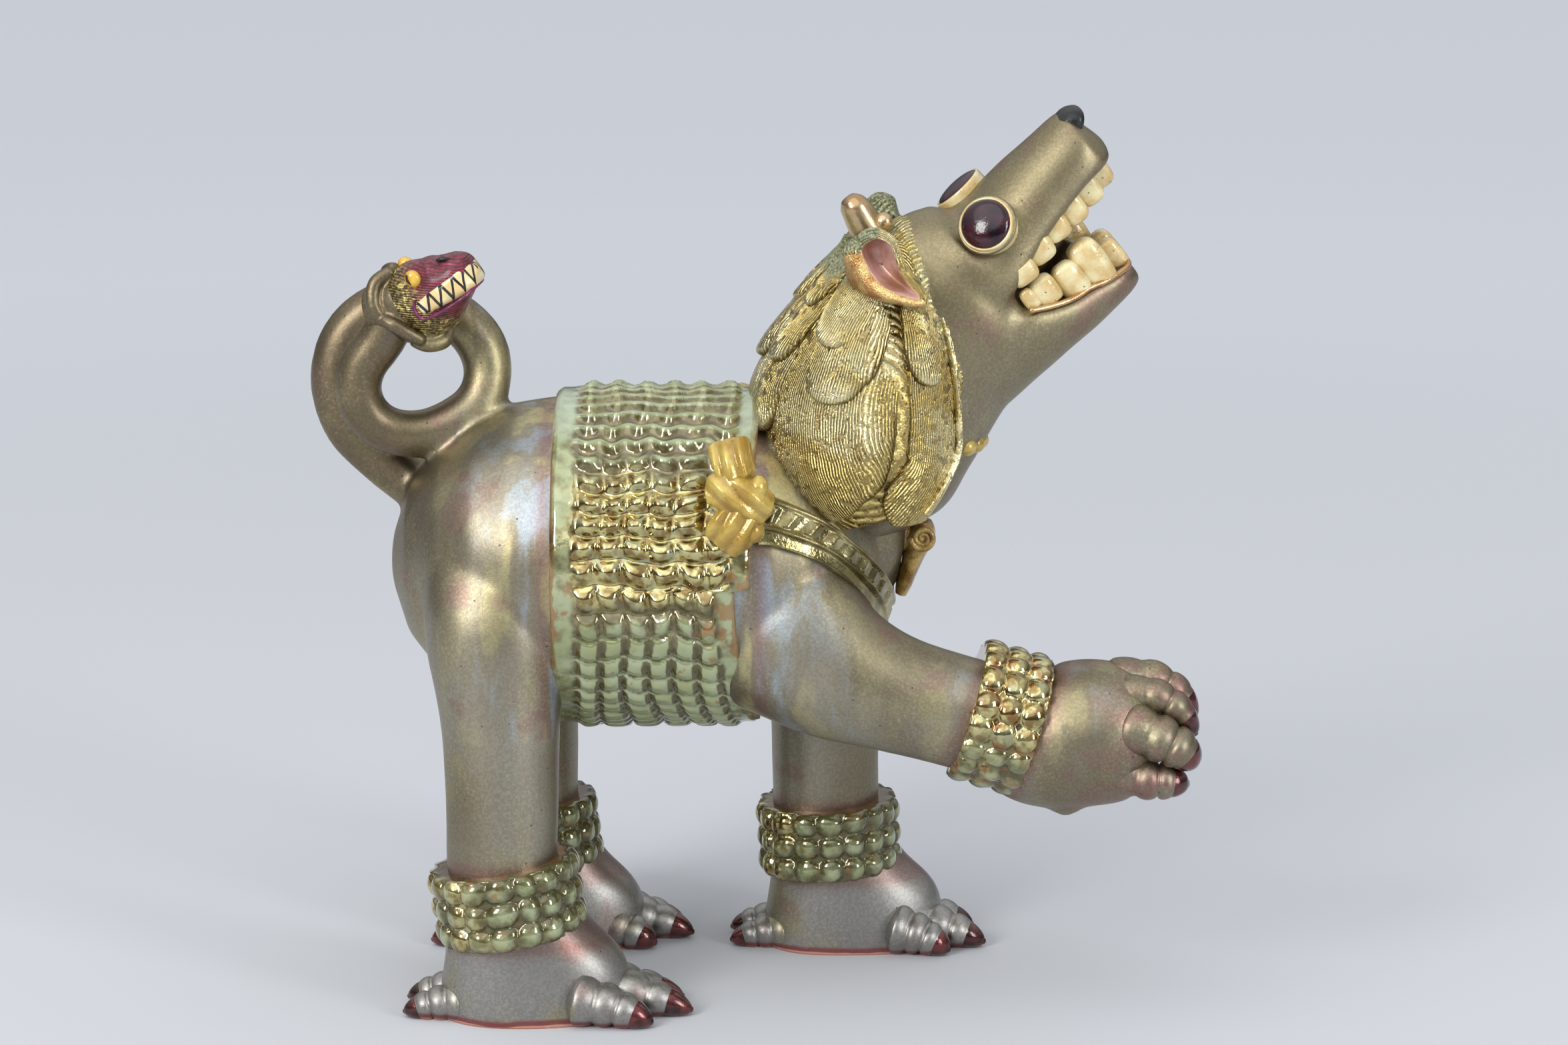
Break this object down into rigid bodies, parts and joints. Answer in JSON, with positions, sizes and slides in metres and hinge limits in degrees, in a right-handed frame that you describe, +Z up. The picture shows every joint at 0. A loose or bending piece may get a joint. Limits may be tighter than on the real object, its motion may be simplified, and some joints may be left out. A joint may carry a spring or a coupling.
{
  "type": "guardian lion statue",
  "caption": "Standing ceramic guardian lion with a raised forepaw, gilded mane, studded jacket, beaded bands and a looped tail that ends in a snake's head.",
  "frame": {"origin": "under the middle of the figure's bounding box, on the ground it stands on", "axes": "+X forwards, the way the figure looks; +Y towards its left side; +Z up"},
  "size_m": [0.4634, 0.201, 0.4669],
  "materials": {
    "lustre_glaze": "silvery bronze lustre glaze with soft iridescent patches",
    "gold_glaze": "glossy gold lustre over combed clay",
    "celadon_glaze": "glossy celadon green glaze with gold lustre pools",
    "ochre_glaze": "glossy yellow ochre glaze",
    "dark_eye": "glossy purple-black glaze",
    "cream_teeth": "glossy cream glaze with fine dark specks",
    "snake_glaze": "glossy crimson glaze over fine incised lines"
  },
  "bodies": {
    "root": {"guardian_lion": "lustre_glaze"}
  },
  "joints": []
}
